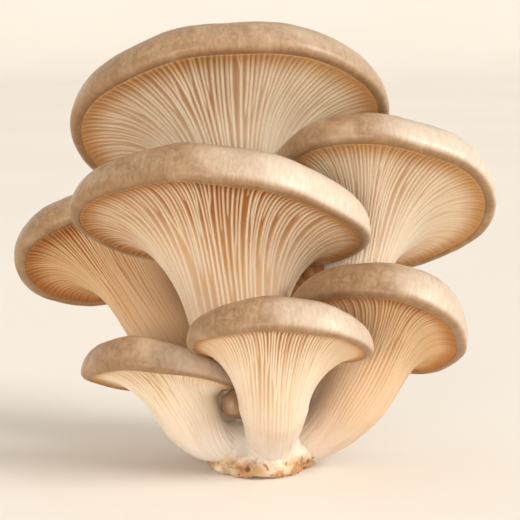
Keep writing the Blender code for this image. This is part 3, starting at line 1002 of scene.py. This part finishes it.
# %% Cap skin material
# colours over the first 30 mm from the lip: painted shade darkest at the lip, and a paler painted
# highlight band about 7 mm up
SKIN = [(0.0, "#9A7450"), (0.08, "#A2805D"), (0.22, "#AF9070"), (0.6, "#A78768"), (1.0, "#9D7E60")]
cap_skin, tree, shader = new_material("silky_cap_skin", {
    "Roughness": 0.38,
    "IOR": 1.42,
    "Specular IOR Level": 0.6,
    "Sheen Weight": 0.12,
    "Sheen Tint": colour("#EBD3B4"),
    "Sheen Roughness": 0.4,
    "Subsurface Weight": 0.2,
    "Subsurface Radius": (1.0, 0.5, 0.28),
    "Subsurface Scale": 0.0018,
})
from_lip = add(tree, "ShaderNodeAttribute", {"attribute_name": "from_lip"}).outputs["Fac"]
grain = add(tree, "ShaderNodeAttribute", {"attribute_name": "grain"}).outputs["Vector"]
over_the_roll = add(tree, "ShaderNodeMapRange", i0=from_lip, i1=0.0, i2=0.03).outputs[0]
paint = add(tree, "ShaderNodeValToRGB", {"stops": SKIN}, i0=over_the_roll).outputs[0]
clouds = add(tree, "ShaderNodeTexNoise", Vector=grain,
             Scale=330.0, Detail=4.0, Roughness=0.6, Distortion=1.4).outputs["Fac"]
cloud_share = add(tree, "ShaderNodeMapRange", i0=clouds, i1=0.42, i2=0.6, i3=0.0, i4=0.75).outputs[0]
paint = add(tree, "ShaderNodeMix", MIX, i0=cloud_share, i6=paint, i7=colour("#93724F")).outputs[2]
pale = add(tree, "ShaderNodeTexNoise", Vector=grain, Scale=90.0, Detail=2.0).outputs["Fac"]
pale_share = add(tree, "ShaderNodeMapRange", i0=pale, i1=0.5, i2=0.75, i3=0.0, i4=0.4).outputs[0]
paint = add(tree, "ShaderNodeMix", MIX, i0=pale_share, i6=paint, i7=colour("#D9C2A2")).outputs[2]
# painted highlight: skin that faces the light is painted paler
bleach = add(tree, "ShaderNodeAttribute", {"attribute_name": "bleach"}).outputs["Fac"]
painted_highlight_share = add(tree, "ShaderNodeMapRange", i0=bleach, i1=0.0, i2=1.0, i3=0.0, i4=0.78).outputs[0]
paint = add(tree, "ShaderNodeMix", MIX, i0=painted_highlight_share, i6=paint, i7=colour("#E9DDCE")).outputs[2]
# threads are 0.1 mm apart on the real skin, drawn at 1.1 mm so that they show
stretched = add(tree, "ShaderNodeMapping", Vector=grain, Scale=(1.0, 1.0, 0.3)).outputs[0]
threads = add(tree, "ShaderNodeTexNoise", Vector=stretched,
              Scale=900.0, Detail=3.0, Distortion=0.6).outputs["Fac"]
thread_share = add(tree, "ShaderNodeMapRange", i0=threads, i1=0.35, i2=0.68, i3=0.0, i4=0.26).outputs[0]
paint = add(tree, "ShaderNodeMix", TINT, i0=thread_share, i6=paint, i7=colour("#C2A182")).outputs[2]
tree.links.new(paint, shader.inputs["Base Color"])
both = add(tree, "ShaderNodeMath", {"operation": "MULTIPLY_ADD"}, i0=clouds, i1=1.2, i2=threads).outputs[0]
bump = add(tree, "ShaderNodeBump", Height=both, Distance=0.00018, Strength=0.4).outputs[0]
tree.links.new(bump, shader.inputs["Normal"])
dress(cap_skin, [*cap_pieces.values(), young])
print("cap skin on", len(cap_pieces), "pieces")

# %% [markdown]
# ## Torn foot
#
# The foot is the same flesh, dried where it was torn: cream with brown specks where it
# held bits of the block, and darker in its pits, a painted shade. A dry tear is matt and
# lets less light in. Above the torn part the foot has the stem's own colour and glow, so
# that the fillets vanish into the stems.

# %% Torn foot material
TORN_LUMPS = [(0.3, "#B08355"), (0.43, "#D3B48D"), (0.52, "#E8D8C1"), (0.8, "#EFE5D6")]
torn_flesh, tree, shader = new_material("dried_torn_flesh", {
    "Roughness": 0.72,
    "IOR": 1.4,
    "Subsurface Radius": (1.0, 0.7, 0.5),
    "Subsurface Scale": 0.0013,
})
torn_share = add(tree, "ShaderNodeAttribute", {"attribute_name": "torn"}).outputs["Fac"]
pit_share = add(tree, "ShaderNodeAttribute", {"attribute_name": "pit"}).outputs["Fac"]
solid = add(tree, "ShaderNodeTexCoord").outputs["Object"]
mottle = add(tree, "ShaderNodeTexNoise", Vector=solid,
             Scale=170.0, Detail=5.0, Roughness=0.62).outputs["Fac"]
rough = add(tree, "ShaderNodeValToRGB", {"stops": TORN_LUMPS}, i0=mottle).outputs[0]
specks = add(tree, "ShaderNodeTexNoise", Vector=solid, Scale=420.0, Detail=1.0).outputs["Fac"]
speck_share = add(tree, "ShaderNodeMapRange", i0=specks, i1=0.62, i2=0.69, i3=0.0, i4=0.85).outputs[0]
rough = add(tree, "ShaderNodeMix", MIX, i0=speck_share, i6=rough, i7=colour("#8A5A33")).outputs[2]
raw_share = add(tree, "ShaderNodeAttribute", {"attribute_name": "raw"}).outputs["Fac"]
raw_most = add(tree, "ShaderNodeMath", {"operation": "MULTIPLY"}, i0=raw_share, i1=0.9).outputs[0]
rough = add(tree, "ShaderNodeMix", TINT, i0=raw_most, i6=rough, i7=colour("#CFAA7F")).outputs[2]
# painted shade in the pits, by how deep they are
rough = add(tree, "ShaderNodeMix", MIX, i0=pit_share, i6=rough, i7=colour("#7C5233")).outputs[2]
paint = add(tree, "ShaderNodeMix", MIX, i0=torn_share, i6=colour("#E8DFD4"), i7=rough).outputs[2]
paint = tone_and_painted_shade(tree, paint)
tree.links.new(paint, shader.inputs["Base Color"])
bump = add(tree, "ShaderNodeBump", Height=mottle, Distance=0.0008, Strength=0.6).outputs[0]
tree.links.new(bump, shader.inputs["Normal"])
glow = add(tree, "ShaderNodeMapRange", i0=torn_share, i1=0.0, i2=1.0, i3=0.75, i4=0.3).outputs[0]
tree.links.new(glow, shader.inputs["Subsurface Weight"])
dress(torn_flesh, [foot])
print("torn flesh on", foot.name)

# %% [markdown]
# ## Floor
#
# The cluster stands on a plain sweep of board painted matt cream: a round table top whose
# border curves up far away, so that no edge shows between floor and wall from any side.
# Matt paint gives a soft, even ground without reflections, and a very faint haze in it
# keeps it from looking like a flat fill.

# %% Floor
FLAT_RADIUS = 2.6
BEND_RADIUS = 1.0
AROUND = 96
slopes = [radians(a) for a in range(0, 91, 5)]
bend = [(FLAT_RADIUS + BEND_RADIUS * sin(a), BEND_RADIUS * (1 - cos(a))) for a in slopes]
turns = np.arange(AROUND) * 2 * pi / AROUND
corners = [(r * cos(turn), r * sin(turn), z) for r, z in bend for turn in turns]
strips = [tuple(range(AROUND))]
for k in range(len(bend) - 1):
    for j in range(AROUND):
        a, b = k * AROUND + j, k * AROUND + (j + 1) % AROUND
        strips.append((b, a, a + AROUND, b + AROUND))
sweep_mesh = bpy.data.meshes.new("sweep")
sweep_mesh.from_pydata(corners, [], strips)
sweep_mesh.shade_smooth()
floor = bpy.data.objects.new("sweep", sweep_mesh)
bpy.context.scene.collection.objects.link(floor)
pale_paint, tree, shader = new_material("matt_cream_paint", {"Roughness": 0.9, "Specular IOR Level": 0.15})
solid = add(tree, "ShaderNodeTexCoord").outputs["Object"]
haze = add(tree, "ShaderNodeTexNoise", Vector=solid, Scale=3.0).outputs["Fac"]
cream = {"stops": [(0.3, "#F0ECE6"), (0.7, "#F3EFEA")]}
paint = add(tree, "ShaderNodeValToRGB", cream, i0=haze).outputs[0]
tree.links.new(paint, shader.inputs["Base Color"])
dress(pale_paint, [floor])
floor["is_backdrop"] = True
print("sweep:", len(strips), "faces,", 2 * (FLAT_RADIUS + BEND_RADIUS), "m across")

# %% [markdown]
# ## Light
#
# The light is soft and warm. A broad key comes from the upper right in front, so right
# hand rims are bright and the left sides fall into a gentle shade. A weak low fill in
# front reaches in under the caps, the pale room lights the rest, and the table sends
# warm light up into the gills.

# %% Light
def soft_box(name, place, aim, size, watts, hex_value):
    data = bpy.data.lights.new(name, "AREA")
    data.shape = "DISK"
    data.size = size
    data.energy = watts
    data.color = colour(hex_value)[:3]
    light = bpy.data.objects.new(name, data)
    bpy.context.scene.collection.objects.link(light)
    light.location = place
    light.rotation_euler = (Vector(aim) - Vector(place)).to_track_quat("-Z", "Y").to_euler()
    light.visible_camera = False
    return light


soft_box("key", (8.0, -4.2, 5.4), (0, 0, 0.07), 5.0, 860.0, "#FFFAF2")
soft_box("front_fill", (-0.7, -2.7, 0.2), (0, 0, 0.07), 1.4, 43.0, "#FFFCF6")
world = bpy.data.worlds.new("pale_room")
bpy.context.scene.world = world
world.use_nodes = True
world.node_tree.nodes["Background"].inputs["Color"].default_value = colour("#FFF6EA")
world.node_tree.nodes["Background"].inputs["Strength"].default_value = 0.66
bpy.context.scene.view_settings.view_transform = "Standard"

# %% Size and finish
low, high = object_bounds()
for corner, cad, visual in (("low", cad_low, low), ("high", cad_high, high)):
    print(corner, "corner moved by, in mm:", [round(1000 * (b - a), 2) for a, b in zip(cad, visual)])
